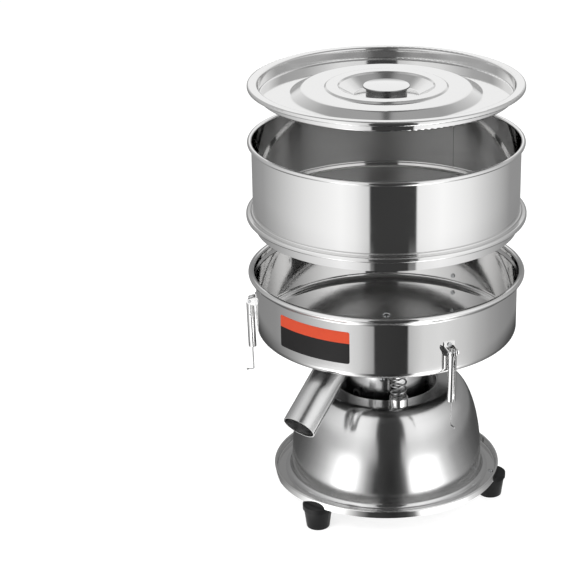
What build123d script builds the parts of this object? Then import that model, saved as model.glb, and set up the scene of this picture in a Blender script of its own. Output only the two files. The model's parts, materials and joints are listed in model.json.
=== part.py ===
from build123d import *
from math import asin, cos, degrees, radians, sin, sqrt
import os

# Vibrating sieve for powders, millimetres, +Z up.
# The origin is on the floor, on the axis of the round stack. The front faces -Y.
# A place round the axis is a bearing in degrees: 0 at the front, positive towards +X.
# The lid and the sieve drum are shown lifted off, one above the other, over the pan.

# Sheet, gaps and clearances
SHEET = 1.0                 # pressed sheet of the drum, pan, bowl and tray
LID_SHEET = 0.8
SEAT_GAP = 0.3              # gap left where a moving piece comes to rest on another
RUN_GAP = 0.05              # running clearance of a pin or shaft in its hole, on the radius
SLIP_GAP = 0.1              # clearance of a fixed piece in its seat, on the radius
SCREW_GAP = 0.2             # clearance of a screw in a plain hole, on the radius

# Heights of the stack, from the floor upwards
FOOT_HEIGHT = 28.3
BOWL_HEIGHT = 111.5
SPRING_ROOM = 67.0          # from the bowl's top to the underside of the pan
PAN_HEIGHT = 75.0
DRUM_SHOWN_LIFT = 63.8      # how far the drum is shown above the pan's rim
FLANGE_HEIGHT = 8.4
DRUM_WALL_HEIGHT = 80.8
LID_SHOWN_LIFT = 59.3       # how far the lid is shown above the drum's rim

# Base tray and feet
TRAY_GROOVE = 10.0          # from the bowl's foot to the tray's rim
TRAY_RIM_WIDTH = 2.9
TRAY_RIM_HEIGHT = 7.8       # above the tray's floor
TRAY_RIM_LEAN = 0.4
TRAY_CORNER = 2.0
FOOT_BEARINGS = (-39.0, 81.0, 201.0)
FOOT_LIP_RADIUS = 17.5
FOOT_LIP_HEIGHT = 5.5
FOOT_TOP_RADIUS = 16.2
FOOT_SOLE_RADIUS = 13.1
FOOT_WELL_RADIUS = 7.0      # recess in the sole for the washer and nut
FOOT_WELL_DEPTH = 9.0
FOOT_SCREW_RADIUS = 2.0
FOOT_SCREW_HEAD = (3.0, 2.0)
FOOT_WASHER = (6.5, 1.0)
FOOT_NUT = (3.8, 3.2)

# Bowl housing
BOWL_RADIUS = 111.5
BOWL_SKIRT = 10.5           # plain upright edge below the rounded side
BOWL_FOOT_WIDTH = 8.0       # of the foot's flange, beyond the side
BOWL_FOOT_CURVE = 6.5
BOWL_HOLE_RADIUS = 58.0
BOWL_LIP_DEPTH = 3.5        # of the lip turned down round the hole
BOWL_LIP_CURVE = 1.6
BOWL_FLAT_WIDTH = 20.5      # flat ring from the hole to the rounded side
QUARTER_TURN = 90.0

# Springs between bowl and pan
SPRING_BEARINGS = (11.3, 131.3, -108.7)
SPRING_INSET = 12.0         # from the hole's edge to the middle of a spring
SPRING_RADIUS = 8.45        # to the middle of the wire
SPRING_WIRE = 1.1
SPRING_PITCH = 8.6
CUP_WALL = 0.8
CUP_FLOOR = 1.2
CUP_HEIGHT = 8.6
CUP_SCREW_RADIUS = 2.0
CUP_SCREW_HEAD = (3.8, 2.4)
CUP_NUT = (3.8, 3.2)
SEAT_STUD_LENGTH = 9.0

# Pan
PAN_INSET = 1.0             # of the pan's wall, inside the drum's
PAN_CORNER = 7.0
PAN_BEAD_REACH = 8.1        # of the rolled rim, beyond the wall
PAN_BEAD = 7.0              # thickness of the rolled rim
PAN_FLARE = 7.5             # height of the outward flare under the rolled rim

# Spout
SPOUT_BEARING = -34.9
SPOUT_DROP = 37.0           # slope below the horizontal
SPOUT_RADIUS = 19.05
SPOUT_WALL = 1.2
SPOUT_ROOT = 85.1           # radius at which its axis meets the pan's underside
SPOUT_REACH = 168.1         # radius of the middle of its mouth

# Drum, screen and skirt
DRUM_RADIUS = 150.0
DRUM_BEAD = 5.4
FLANGE_REACH = 7.6          # of the flange, beyond the wall
FLANGE_STEP = 2.5           # of the step above the flange, beyond the wall
FLANGE_STEP_HEIGHT = 2.6
FLANGE_HEM = 3.0            # inward turn at the foot of the flange
FLANGE_CORNER = 1.4
SKIRT_SLIP = 0.5            # clearance of the skirt inside the pan
SKIRT_DEPTH = 12.5          # below the flange's underside
MESH_THICKNESS = 0.5
MESH_MARGIN = 1.2           # of the seal, beyond the mesh
SEAL_WIDTH = 8.1
CLAMP_WIDTH = 5.4
CLAMP_HEIGHT = 4.0
CLAMP_WALL = 1.2

# Lid and knob
LID_OVERHANG = 3.0          # of the lid's rim, beyond the drum's wall
LID_WELL_GAP = 6.8          # between the lid's well and the drum
LID_RIM_DROP = 4.7
LID_RIM_HEM = 3.0
LID_WELL_DEPTH = 13.7       # from the rim's top down to the flat ring
LID_WELL_DRAFT = 1.6
LID_STEP_OUTER = 106.5
LID_STEP_INNER = 93.0
LID_STEP_RISE = 7.8
LID_BEAD_OUTER = 66.0
LID_BEAD_INNER = 54.0
LID_BEAD_RISE = 2.0
LID_RECESS_FLOOR = 37.0
LID_RECESS_DEPTH = 10.1
KNOB_RADIUS = 26.0
KNOB_SIDE_RADIUS = 22.8
KNOB_HEIGHT = 13.4
KNOB_LIP = 2.2
KNOB_CROWN = 1.6
KNOB_WALL = 1.6
KNOB_BOSS_RADIUS = 6.0
KNOB_SCREW_RADIUS = 2.5
KNOB_SCREW_HEAD = (4.8, 2.6)
KNOB_SCREW_REACH = 7.0

# Latches on the pan
LATCH_BEARINGS = (27.0, 147.0, -93.0)
PIVOT_BELOW_RIM = 46.0
PIVOT_STANDOFF = 8.5        # lever pivot from the pan's wall
PLATE_WIDTH = 13.0
PLATE_THICKNESS = 1.4
PLATE_ABOVE_PIVOT = 10.0
PLATE_BELOW_PIVOT = 21.5
EAR_THICKNESS = 1.4
EAR_RADIUS = 3.2
PIVOT_PIN_RADIUS = 1.0
PIVOT_HEAD = (1.8, 0.9)
LEVER_RADIUS = 4.6          # of the open tube that the lever is rolled to
LEVER_SHEET = 0.7
LEVER_SLOT = 2.2            # width of its slot, for the hook's wire
LEVER_ABOVE_PIVOT = 2.6
LEVER_MOUTH = 3.0           # its front ends this far below the pivot
LEVER_EAR_FRONT = 2.2       # what is left in front of the pivot above that
LEVER_LENGTH = 58.0
LEVER_LEAN = 1.5            # degrees that the hanging lever leans in to the wall
HOOK_PIN_DROP = 16.9        # hook pin below the lever pivot
HOOK_PIN_RADIUS = 1.0
HOOK_WIRE = 0.75
HOOK_LENGTH = 70.7          # from its pin to the middle of its foot
HOOK_BEND = 2.0
HOOK_REACH = 7.4            # of its foot, out from the wire
HOOK_BALL = 1.3
RIVET_DROPS = (-7.0, 17.0)  # rivets of the plate, below the pivot
RIVET_RADIUS = 1.5
RIVET_HEAD = (2.6, 0.9)
LEVER_SWING = 150.0
HOOK_SWING = 177.5

# Motor can under the pan
CAN_RADIUS = 45.0
CAN_SHEET = 1.5
CAN_CORNER = 4.0
CAN_LENGTH = 139.0
CAN_BOLT_CIRCLE = 29.0
CAN_BOLT_BEARINGS = (60.0, 180.0, 300.0)
CAN_BOLT_RADIUS = 2.5
CAN_BOLT_HEAD = (5.0, 2.8)
CAN_NUT = (4.6, 3.6)
CAN_BOLT_LENGTH = 7.4
STATOR_LENGTH = 46.0
STATOR_DEPTH = 38.0         # top of the stator below the pan
STATOR_BORE = 25.4
STATOR_SLOTS = 12
STATOR_SLOT = (3.6, 9.0)
STATOR_SCREW_BEARINGS = (-6.3, 113.7, 233.7)
STATOR_SCREW_DEPTH = 47.4
STATOR_SCREW_RADIUS = 1.5
STATOR_SCREW_HEAD = (2.9, 1.8)
STATOR_SCREW_REACH = 6.0
WINDING_INNER = 28.0
WINDING_OUTER = 39.5
WINDING_HEIGHT = 9.0
AIR_GAP = 0.4
SHAFT_RADIUS = 6.0
SHAFT_TOP_DEPTH = 8.0
SHAFT_LENGTH = 118.0
BEARING_RADIUS = 14.0
BEARING_WIDTH = 8.0
BRACKET_PLATE = 4.0
BRACKET_HUB = 4.0
BRACKET_CLEAR = 12.0        # from the stator's end to a bearing bracket
WEIGHT_RADIUS = 34.0
WEIGHT_THICKNESS = 11.0
WEIGHT_HUB = 12.0
WEIGHT_CLEAR = 3.0
WEIGHT_SCREW_RADIUS = 2.0
WEIGHT_ANGLE = 80.0         # the lower weight trails the upper one by this much
CAP_SKIRT = 8.0
CAP_SCREW_BEARINGS = (30.0, 150.0, 270.0)
CAP_SCREW_RADIUS = 1.5
CAP_SCREW_HEAD = (2.8, 1.6)

# Motor lead, its grommet and the terminal box inside the bowl
LEAD_RADIUS = 1.3
LEAD_CIRCLE = 50.0
LEAD_EXIT_BEARING = -36.0
LEAD_DROP_BEARING = -50.5
LEAD_EXIT_DEPTH = 91.0
LEAD_ARCH = 2.0             # top of its arch above the bowl's top
LEAD_TURN = 4.0
GROMMET_RADIUS = 3.4
GROMMET_FLANGE = (4.6, 1.2)
BOX_SIZE = (30.0, 22.0, 16.0)
BOX_BEARING = -52.0
BOX_CIRCLE = 62.0
BOX_ROUND = 2.0
BOX_SOCKET = 3.0

# Switch and cable gland at the back of the bowl
SWITCH_BEARING = 160.0
SWITCH_RISE = 38.0          # above the tray's floor
SWITCH_WIDTH = 14.0
SWITCH_HEIGHT = 19.0
SWITCH_BEZEL = 2.2
SWITCH_PROUD = 3.4
SWITCH_DEPTH = 14.0
SWITCH_ROUND = 1.2
ROCKER_WIDTH = 10.4
ROCKER_HALF = 6.0
ROCKER_PROUD = 3.6
ROCKER_DISH = 1.8
ROCKER_BACK = 3.0
ROCKER_TILT = 9.0
ROCKER_PIN_RADIUS = 1.2
GLAND_BEARING = 200.0
GLAND_RISE = 21.0
GLAND_BORE = 3.2
GLAND_RADIUS = 6.0
GLAND_FLANGE = 9.0
GLAND_PROUD = 7.0
GLAND_NUT = (8.6, 4.0)
GLAND_NUT_DEPTH = 2.5       # of the nut's seat, inside the bowl's outer radius

# Heights worked out from the stack
tray_top = FOOT_HEIGHT + SHEET
bowl_top = tray_top + BOWL_HEIGHT
pan_bottom = bowl_top + SPRING_ROOM
pan_floor = pan_bottom + SHEET
pan_top = pan_bottom + PAN_HEIGHT
flange_bottom = pan_top + DRUM_SHOWN_LIFT
drum_joint = flange_bottom + FLANGE_HEIGHT
drum_top = drum_joint + DRUM_WALL_HEIGHT
lid_bottom = drum_top + LID_SHOWN_LIFT
lid_top = lid_bottom + LID_RIM_DROP

# Radii worked out from the drum and the bowl
pan_radius = DRUM_RADIUS - PAN_INSET
pan_bead_radius = pan_radius + PAN_BEAD_REACH
step_radius = DRUM_RADIUS + FLANGE_STEP
flange_radius = DRUM_RADIUS + FLANGE_REACH
skirt_radius = pan_radius - SHEET - SKIRT_SLIP
seal_radius = step_radius - SHEET - 2 * SLIP_GAP
mesh_radius = seal_radius + SLIP_GAP - MESH_MARGIN
lid_radius = DRUM_RADIUS + LID_OVERHANG
lid_well_radius = DRUM_RADIUS - SHEET - LID_WELL_GAP
bowl_flat_radius = BOWL_HOLE_RADIUS + BOWL_FLAT_WIDTH
bowl_foot_radius = BOWL_RADIUS + BOWL_FOOT_WIDTH
spring_circle = BOWL_HOLE_RADIUS + SPRING_INSET
tray_wall_radius = bowl_foot_radius + TRAY_GROOVE
foot_circle = tray_wall_radius - TRAY_CORNER - FOOT_SCREW_HEAD[0] - SLIP_GAP

# Places worked out from other sizes
ledge_z = drum_joint - FLANGE_STEP_HEIGHT
lid_flat_z = lid_top - LID_WELL_DEPTH
lid_plateau_z = lid_flat_z + LID_STEP_RISE
lid_recess_z = lid_plateau_z - LID_RECESS_DEPTH
pivot_radius = pan_radius + PIVOT_STANDOFF
pivot_z = pan_top - PIVOT_BELOW_RIM
can_inner = CAN_RADIUS - CAN_SHEET
can_bottom = pan_bottom - CAN_LENGTH
stator_top = pan_bottom - STATOR_DEPTH
stator_bottom = stator_top - STATOR_LENGTH
cup_radius = SPRING_RADIUS + SPRING_WIRE + SEAT_GAP + CUP_WALL
spring_low = bowl_top + CUP_FLOOR
spring_high = pan_bottom
spout_down = radians(SPOUT_DROP)
drum_travel = DRUM_SHOWN_LIFT - SEAT_GAP
lid_travel = LID_SHOWN_LIFT - SEAT_GAP

UP = (Align.CENTER, Align.CENTER, Align.MIN)


# Small helpers

def turned(section):
    """Turns a section, drawn as radius and height, once round the axis."""
    return revolve(Plane.XZ * section, Axis.Z)


def pressed(line, sheet):
    """Sheet of one thickness along a line drawn as radius and height, turned round the axis."""
    return turned(trace(line, sheet))


def ring(inner, outer, low, high):
    """A plain ring between two radii and two heights."""
    section = Pos((inner + outer) / 2, (low + high) / 2) * Rectangle(outer - inner, high - low)
    return turned(section)


def disc(radius, low, high):
    return Pos(0, 0, low) * Cylinder(radius, high - low, align=UP)


def round_bar(start, end, radius):
    """A straight round bar from one point to another."""
    start = Vector(*start)
    end = Vector(*end)
    return Plane(origin=start, z_dir=end - start) * Cylinder(radius, (end - start).length, align=UP)


def group(shapes):
    """Separate solids that go together as one piece."""
    return Compound([solid for shape in shapes for solid in shape.solids()])


def around(bearings, shape):
    """Copies of a shape made at the front, one at each bearing."""
    return group([Rot(0, 0, bearing) * shape for bearing in bearings])


def place(bearing, radius, z):
    """The point at a bearing, a radius and a height."""
    angle = radians(bearing)
    return Vector(radius * sin(angle), -radius * cos(angle), z)


def crown_middle(radius, low, high):
    """The point half way along a round crown, from its edge at a radius to its top on the axis."""
    rise = high - low
    ball = (radius**2 + rise**2) / (2 * rise)
    half = asin(radius / ball) / 2
    return ball * sin(half), high - ball + ball * cos(half)


def dome_head(radius, height):
    """A domed screw head on the plane z = 0."""
    lower = height * 0.35
    with BuildSketch() as head:
        with BuildLine():
            Polyline((0, height), (0, 0), (radius, 0), (radius, lower))
            ThreePointArc((radius, lower), crown_middle(radius, lower, height), (0, height))
        make_face()
    return turned(head.sketch)


def hexagon_nut(across, height, bore):
    nut = extrude(RegularPolygon(across * 2 / sqrt(3), 6), height)
    return nut - Cylinder(bore, height, align=UP)


# Base tray, feet and bowl

def make_base_tray():
    floor_z = tray_top - SHEET / 2
    edge = tray_wall_radius + TRAY_RIM_WIDTH - SHEET / 2
    rim_z = tray_top + TRAY_RIM_HEIGHT - SHEET / 2
    line = FilletPolyline(
        (0, floor_z),
        (tray_wall_radius, floor_z),
        (tray_wall_radius + TRAY_RIM_LEAN, rim_z),
        (edge, rim_z),
        (edge, floor_z),
        radius=[TRAY_CORNER, 0.9, 0.9],
    )
    tray = pressed(line, SHEET)
    hole = Pos(0, -foot_circle, floor_z) * Cylinder(FOOT_SCREW_RADIUS + SCREW_GAP, 4 * SHEET)
    for bearing in FOOT_BEARINGS:
        tray -= Rot(0, 0, bearing) * hole
    return tray


def make_foot():
    with BuildSketch() as section:
        with BuildLine():
            Polyline(
                (0, 0),
                (FOOT_SOLE_RADIUS, 0),
                (FOOT_TOP_RADIUS, FOOT_HEIGHT - FOOT_LIP_HEIGHT),
                (FOOT_LIP_RADIUS, FOOT_HEIGHT - FOOT_LIP_HEIGHT),
                (FOOT_LIP_RADIUS, FOOT_HEIGHT),
                (0, FOOT_HEIGHT),
                close=True,
            )
        make_face()
        corners = section.vertices().filter_by(lambda v: v.X > 0)
        fillet(corners.sort_by(Axis.Y)[:1], 1.5)
        fillet(corners.sort_by(Axis.X)[-2:], 1.2)
    foot = turned(section.sketch)
    foot -= Cylinder(FOOT_WELL_RADIUS, FOOT_WELL_DEPTH, align=UP)
    foot -= Cylinder(FOOT_SCREW_RADIUS + SCREW_GAP, FOOT_HEIGHT, align=UP)
    return Pos(0, -foot_circle, 0) * foot


def make_foot_fasteners():
    """Screw, washer and nut that hold a rubber foot under the tray."""
    head_radius, head_height = FOOT_SCREW_HEAD
    washer_radius, washer_height = FOOT_WASHER
    nut_across, nut_height = FOOT_NUT
    washer_low = FOOT_WELL_DEPTH - washer_height
    nut_low = washer_low - nut_height
    tip = nut_low - 1.0
    here = Pos(0, -foot_circle, 0)
    screw = Pos(0, 0, tray_top) * dome_head(head_radius, head_height)
    screw += Pos(0, 0, tip) * Cylinder(FOOT_SCREW_RADIUS, tray_top - tip, align=UP)
    washer = ring(FOOT_SCREW_RADIUS + SCREW_GAP, washer_radius, washer_low, FOOT_WELL_DEPTH)
    nut = Pos(0, 0, nut_low) * hexagon_nut(nut_across, nut_height, FOOT_SCREW_RADIUS + RUN_GAP)
    return here * screw, here * washer, here * nut


def bowl_section(inset):
    """The bowl's outside, moved in by the sheet for its inside, down to the tray."""
    top = bowl_top - inset
    side = BOWL_RADIUS - inset
    bottom = tray_top + BOWL_SKIRT
    with BuildSketch() as section:
        with BuildLine():
            Line((0, top), (bowl_flat_radius, top))
            EllipticalCenterArc(
                (bowl_flat_radius, bottom),
                side - bowl_flat_radius,
                top - bottom,
                start_angle=0,
                arc_size=QUARTER_TURN,
            )
            Polyline((side, bottom), (side, tray_top), (0, tray_top), (0, top))
        make_face()
    return section.sketch


def bowl_body(inset):
    return turned(bowl_section(inset))


def make_bowl(outside):
    foot_line = FilletPolyline(
        (BOWL_RADIUS - SHEET / 2, tray_top + BOWL_SKIRT),
        (BOWL_RADIUS - SHEET / 2, tray_top + SHEET / 2),
        (bowl_foot_radius, tray_top + SHEET / 2),
        radius=BOWL_FOOT_CURVE,
    )
    lip_end = BOWL_HOLE_RADIUS + SHEET + BOWL_LIP_CURVE
    lip_line = FilletPolyline(
        (BOWL_HOLE_RADIUS + SHEET / 2, bowl_top - BOWL_LIP_DEPTH),
        (BOWL_HOLE_RADIUS + SHEET / 2, bowl_top - SHEET / 2),
        (lip_end + SHEET, bowl_top - SHEET / 2),
        radius=BOWL_LIP_CURVE,
    )
    bowl = outside - bowl_body(SHEET)
    bowl -= disc(lip_end, bowl_top - 2 * SHEET, bowl_top + SHEET)
    bowl -= disc(BOWL_RADIUS + SHEET, tray_top, tray_top + BOWL_SKIRT - SHEET)
    bowl += pressed(lip_line, SHEET)
    bowl += pressed(foot_line, SHEET)
    hole = Pos(0, -spring_circle, bowl_top) * Cylinder(CUP_SCREW_RADIUS + SCREW_GAP, 4 * SHEET)
    for bearing in SPRING_BEARINGS:
        bowl -= Rot(0, 0, bearing) * hole
    neck = Pos(0, -BOWL_RADIUS, tray_top + SWITCH_RISE) * Box(
        SWITCH_WIDTH + 2 * SLIP_GAP, 2 * SWITCH_DEPTH, SWITCH_HEIGHT + 2 * SLIP_GAP
    )
    bowl -= Rot(0, 0, SWITCH_BEARING) * neck
    gland_hole = round_bar(
        (0, -bowl_flat_radius, tray_top + GLAND_RISE),
        (0, -BOWL_RADIUS - SHEET, tray_top + GLAND_RISE),
        GLAND_RADIUS + SLIP_GAP,
    )
    return bowl - Rot(0, 0, GLAND_BEARING) * gland_hole


# Springs and their seats

def make_spring():
    """A compression spring with ground ends, upright at the front."""
    low = spring_low + RUN_GAP
    high = spring_high - RUN_GAP
    path = Pos(0, 0, low + SPRING_WIRE / 2) * Helix(SPRING_PITCH, high - low - SPRING_WIRE, SPRING_RADIUS)
    wire = sweep(Plane(origin=path @ 0, z_dir=path % 0) * Circle(SPRING_WIRE), path=path)
    span = Pos(0, 0, low) * Cylinder(2 * SPRING_RADIUS, high - low, align=UP)
    return Pos(0, -spring_circle, 0) * (wire & span)


def make_spring_cup():
    cup = ring(cup_radius - CUP_WALL, cup_radius, bowl_top, bowl_top + CUP_HEIGHT)
    cup += ring(CUP_SCREW_RADIUS + SCREW_GAP, cup_radius, bowl_top, spring_low)
    return Pos(0, -spring_circle, 0) * cup


def make_cup_fasteners():
    head_radius, head_height = CUP_SCREW_HEAD
    nut_across, nut_height = CUP_NUT
    nut_low = bowl_top - SHEET - nut_height
    tip = nut_low - 1.0
    here = Pos(0, -spring_circle, 0)
    screw = Pos(0, 0, spring_low) * dome_head(head_radius, head_height)
    screw += Pos(0, 0, tip) * Cylinder(CUP_SCREW_RADIUS, spring_low - tip, align=UP)
    nut = Pos(0, 0, nut_low) * hexagon_nut(nut_across, nut_height, CUP_SCREW_RADIUS + RUN_GAP)
    return here * screw, here * nut


def make_upper_seat():
    """Stud under the pan that the spring's top coil slips over."""
    radius = SPRING_RADIUS - SPRING_WIRE - SEAT_GAP
    stud = Pos(0, 0, pan_bottom - SEAT_STUD_LENGTH) * Cylinder(radius, SEAT_STUD_LENGTH, align=UP)
    stud = chamfer(stud.edges().group_by(Axis.Z)[0], 1.5)
    return Pos(0, -spring_circle, 0) * stud


# Pan and spout

def spout_axis():
    """The point where the spout's axis meets the pan's underside, and the axis direction."""
    root = place(SPOUT_BEARING, SPOUT_ROOT, pan_bottom)
    flat = place(SPOUT_BEARING, cos(spout_down), 0)
    return root, Vector(flat.X, flat.Y, -sin(spout_down))


def spout_bar(radius, before, length):
    root, way = spout_axis()
    return round_bar(root - way * before, root + way * length, radius)


def make_spout():
    length = (SPOUT_REACH - SPOUT_ROOT) / cos(spout_down)
    before = 3 * SPOUT_RADIUS
    tube = spout_bar(SPOUT_RADIUS, before, length)
    tube -= spout_bar(SPOUT_RADIUS - SPOUT_WALL, before, length)
    above = Pos(0, 0, pan_bottom) * Cylinder(2 * pan_radius, 4 * PAN_HEIGHT, align=UP)
    return tube - above


def make_pan():
    wall = pan_radius - SHEET / 2
    curl = (PAN_BEAD - SHEET) / 2
    bead_centre = pan_bead_radius - PAN_BEAD / 2
    bead_z = pan_top - PAN_BEAD / 2
    line = FilletPolyline(
        (0, pan_bottom + SHEET / 2),
        (wall, pan_bottom + SHEET / 2),
        (wall, bead_z - PAN_FLARE),
        (bead_centre - curl, bead_z - PAN_FLARE / 2),
        (bead_centre - curl, bead_z),
        radius=[PAN_CORNER - SHEET / 2, 3.0, 2.0],
    )
    line += CenterArc((bead_centre, bead_z), curl, 180, -260)
    pan = pressed(line, SHEET)
    pan -= spout_bar(SPOUT_RADIUS - SPOUT_WALL, 3 * SPOUT_RADIUS, SPOUT_RADIUS)
    bolt_hole = Pos(0, -CAN_BOLT_CIRCLE, pan_bottom) * Cylinder(CAN_BOLT_RADIUS + SCREW_GAP, 4 * SHEET)
    for bearing in CAN_BOLT_BEARINGS:
        pan -= Rot(0, 0, bearing) * bolt_hole
    for bearing in LATCH_BEARINGS:
        pan -= Rot(0, 0, bearing) * rivet_holes(RIVET_RADIUS + RUN_GAP)
    return pan


# Latches, made at the front and turned to their bearings

def rivet_holes(radius):
    holes = [
        round_bar((0, -pan_radius + 5, pivot_z - drop), (0, -pan_radius - 5, pivot_z - drop), radius)
        for drop in RIVET_DROPS
    ]
    return group(holes)


def make_latch_plate():
    """Plate curved to the pan's wall, with two ears that carry the lever."""
    half_turn = degrees(PLATE_WIDTH / pan_radius / 2)
    low = pivot_z - PLATE_BELOW_PIVOT
    high = pivot_z + PLATE_ABOVE_PIVOT
    root = pan_radius + PLATE_THICKNESS / 2
    section = Pos(root, (low + high) / 2) * Rectangle(PLATE_THICKNESS, high - low)
    plate = revolve(Plane.XZ * section, Axis.Z, 2 * half_turn)
    plate = Rot(0, 0, -90 - half_turn) * plate
    with BuildSketch(Plane.YZ) as side:
        with Locations((-pivot_radius, pivot_z)):
            Circle(EAR_RADIUS)
        with BuildLine():
            Polyline(
                (-root, pivot_z - EAR_RADIUS - 2.4),
                (-pivot_radius, pivot_z - EAR_RADIUS),
                (-pivot_radius, pivot_z + EAR_RADIUS),
                (-root, pivot_z + EAR_RADIUS + 2.4),
                close=True,
            )
        make_face()
    inner = LEVER_RADIUS + SEAT_GAP
    for hand in (-1, 1):
        middle = hand * (inner + EAR_THICKNESS / 2)
        plate += Pos(middle, 0, 0) * extrude(side.sketch, EAR_THICKNESS / 2, both=True)
        plate -= round_bar(
            (hand * (inner - 1), -pivot_radius, pivot_z),
            (hand * (inner + EAR_THICKNESS + 1), -pivot_radius, pivot_z),
            PIVOT_PIN_RADIUS + RUN_GAP,
        )
    return plate - rivet_holes(RIVET_RADIUS + RUN_GAP)


def make_rivets():
    """Two rivets, each with a flat head outside and one inside the wall."""
    head_radius, head_height = RIVET_HEAD
    outer = -(pan_radius + PLATE_THICKNESS) - SLIP_GAP
    inner = -(pan_radius - SHEET) + SLIP_GAP
    rivets = []
    for drop in RIVET_DROPS:
        z = pivot_z - drop
        rivet = round_bar((0, inner, z), (0, outer, z), RIVET_RADIUS)
        rivet += round_bar((0, outer, z), (0, outer - head_height, z), head_radius)
        rivet += round_bar((0, inner, z), (0, inner + head_height, z), head_radius)
        rivets.append(rivet)
    return group(rivets)


def make_pivot_pins():
    """Two short pins, one through each ear, so that the hook's wire can pass between them."""
    head_radius, head_height = PIVOT_HEAD
    ear_outer = LEVER_RADIUS + SEAT_GAP + EAR_THICKNESS
    pins = []
    for hand in (-1, 1):
        start = (hand * LEVER_SLOT / 2, -pivot_radius, pivot_z)
        seat = (hand * (ear_outer + RUN_GAP), -pivot_radius, pivot_z)
        end = (hand * (ear_outer + RUN_GAP + head_height), -pivot_radius, pivot_z)
        pins.append(round_bar(start, seat, PIVOT_PIN_RADIUS) + round_bar(seat, end, head_radius))
    return group(pins)


def leaned(shape):
    """Turns a piece, drawn hanging straight down, to the lean of the resting lever."""
    to_pivot = Pos(0, -pivot_radius, pivot_z)
    return to_pivot * Rot(LEVER_LEAN, 0, 0) * shape


def make_lever():
    """Sheet rolled to an open tube, slotted in front so that the hook's wire can swing out."""
    section = Circle(LEVER_RADIUS) - Circle(LEVER_RADIUS - LEVER_SHEET)
    section -= Pos(0, -LEVER_RADIUS) * Rectangle(LEVER_SLOT, 2 * LEVER_RADIUS)
    tube = Pos(0, 0, -LEVER_LENGTH) * extrude(section, LEVER_LENGTH + LEVER_ABOVE_PIVOT)
    width = 3 * LEVER_RADIUS
    tube -= Pos(0, -LEVER_EAR_FRONT, -LEVER_MOUTH) * Box(
        width, width, width, align=(Align.CENTER, Align.MAX, Align.MIN)
    )
    tube -= round_bar((-width, 0, 0), (width, 0, 0), PIVOT_PIN_RADIUS + RUN_GAP)
    tube -= round_bar((-width, 0, -HOOK_PIN_DROP), (width, 0, -HOOK_PIN_DROP), HOOK_PIN_RADIUS + RUN_GAP)
    return leaned(tube)


def make_hook_pin():
    start = (-LEVER_RADIUS, 0, -HOOK_PIN_DROP)
    end = (LEVER_RADIUS, 0, -HOOK_PIN_DROP)
    return leaned(round_bar(start, end, HOOK_PIN_RADIUS))


def make_hook():
    """Wire hook: an eye round its pin, a long straight wire and a foot that ends in a ball."""
    eye_radius = HOOK_PIN_RADIUS + RUN_GAP + HOOK_WIRE
    eye = Pos(0, 0, -HOOK_PIN_DROP) * Rot(0, 90, 0) * Torus(eye_radius, HOOK_WIRE)
    top = -HOOK_PIN_DROP - eye_radius
    low = -HOOK_PIN_DROP - HOOK_LENGTH
    bend_z = low + HOOK_BEND
    wire = round_bar((0, 0, top), (0, 0, bend_z), HOOK_WIRE)
    section = Plane(origin=(0, 0, bend_z), z_dir=(0, 0, -1)) * Circle(HOOK_WIRE)
    bend = revolve(section, Axis((0, -HOOK_BEND, bend_z), (-1, 0, 0)), QUARTER_TURN)
    foot = round_bar((0, -HOOK_BEND, low), (0, -HOOK_REACH, low), HOOK_WIRE)
    ball = Pos(0, -HOOK_REACH, low) * Sphere(HOOK_BALL)
    return leaned(eye + wire + bend + foot + ball)


# Sieve drum

def make_drum():
    wall = DRUM_RADIUS - SHEET / 2
    curl = (DRUM_BEAD - SHEET) / 2
    bead_z = drum_top - DRUM_BEAD / 2
    step = step_radius - SHEET / 2
    edge = flange_radius - SHEET / 2
    hem_z = flange_bottom + SHEET / 2
    line = FilletPolyline(
        (edge - FLANGE_HEM, hem_z),
        (edge, hem_z),
        (edge, ledge_z - SHEET / 2),
        (step, ledge_z - SHEET / 2),
        (step, drum_joint - SHEET / 2),
        (wall, drum_joint - SHEET / 2),
        (wall, bead_z),
        radius=[FLANGE_CORNER, FLANGE_CORNER, 0.9, 0.9, 0.9],
    )
    line += CenterArc((wall + curl, bead_z), curl, 180, -260)
    return pressed(line, SHEET)


def make_skirt():
    """Ring under the screen that slips inside the pan, with a flange under the drum's ledge."""
    wall = skirt_radius - SHEET / 2
    flange_z = ledge_z - SHEET - SHEET / 2
    line = FilletPolyline(
        (wall, flange_bottom - SKIRT_DEPTH),
        (wall, flange_z),
        (flange_radius - SHEET - FLANGE_CORNER, flange_z),
        radius=FLANGE_CORNER,
    )
    return pressed(line, SHEET)


def make_seal():
    """Soft ring round the edge of the mesh, in the pocket behind the drum's step."""
    low = ledge_z - SHEET
    high = drum_joint - SHEET - 2 * SLIP_GAP
    inner = seal_radius - SEAL_WIDTH
    seal = ring(inner, seal_radius, low, high)
    mesh_low, mesh_high = mesh_heights()
    slot = ring(inner - SHEET, mesh_radius + SLIP_GAP, mesh_low - RUN_GAP, mesh_high + RUN_GAP)
    return seal - slot


def mesh_heights():
    middle = (ledge_z - SHEET + drum_joint - SHEET - SLIP_GAP) / 2
    return middle - MESH_THICKNESS / 2, middle + MESH_THICKNESS / 2


def make_mesh():
    low, high = mesh_heights()
    return disc(mesh_radius, low, high)


def make_clamp_ring():
    """L-shaped ring inside the drum that holds the screen down."""
    low = drum_joint - SHEET - SLIP_GAP
    outer = DRUM_RADIUS - SHEET - SLIP_GAP
    with BuildSketch() as section:
        with BuildLine():
            Polyline(
                (outer, low),
                (outer, low + CLAMP_HEIGHT),
                (outer - CLAMP_WALL, low + CLAMP_HEIGHT),
                (outer - CLAMP_WALL, low + CLAMP_WALL),
                (outer - CLAMP_WIDTH, low + CLAMP_WALL),
                (outer - CLAMP_WIDTH, low),
                close=True,
            )
        make_face()
    return turned(section.sketch)


# Lid

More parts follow.
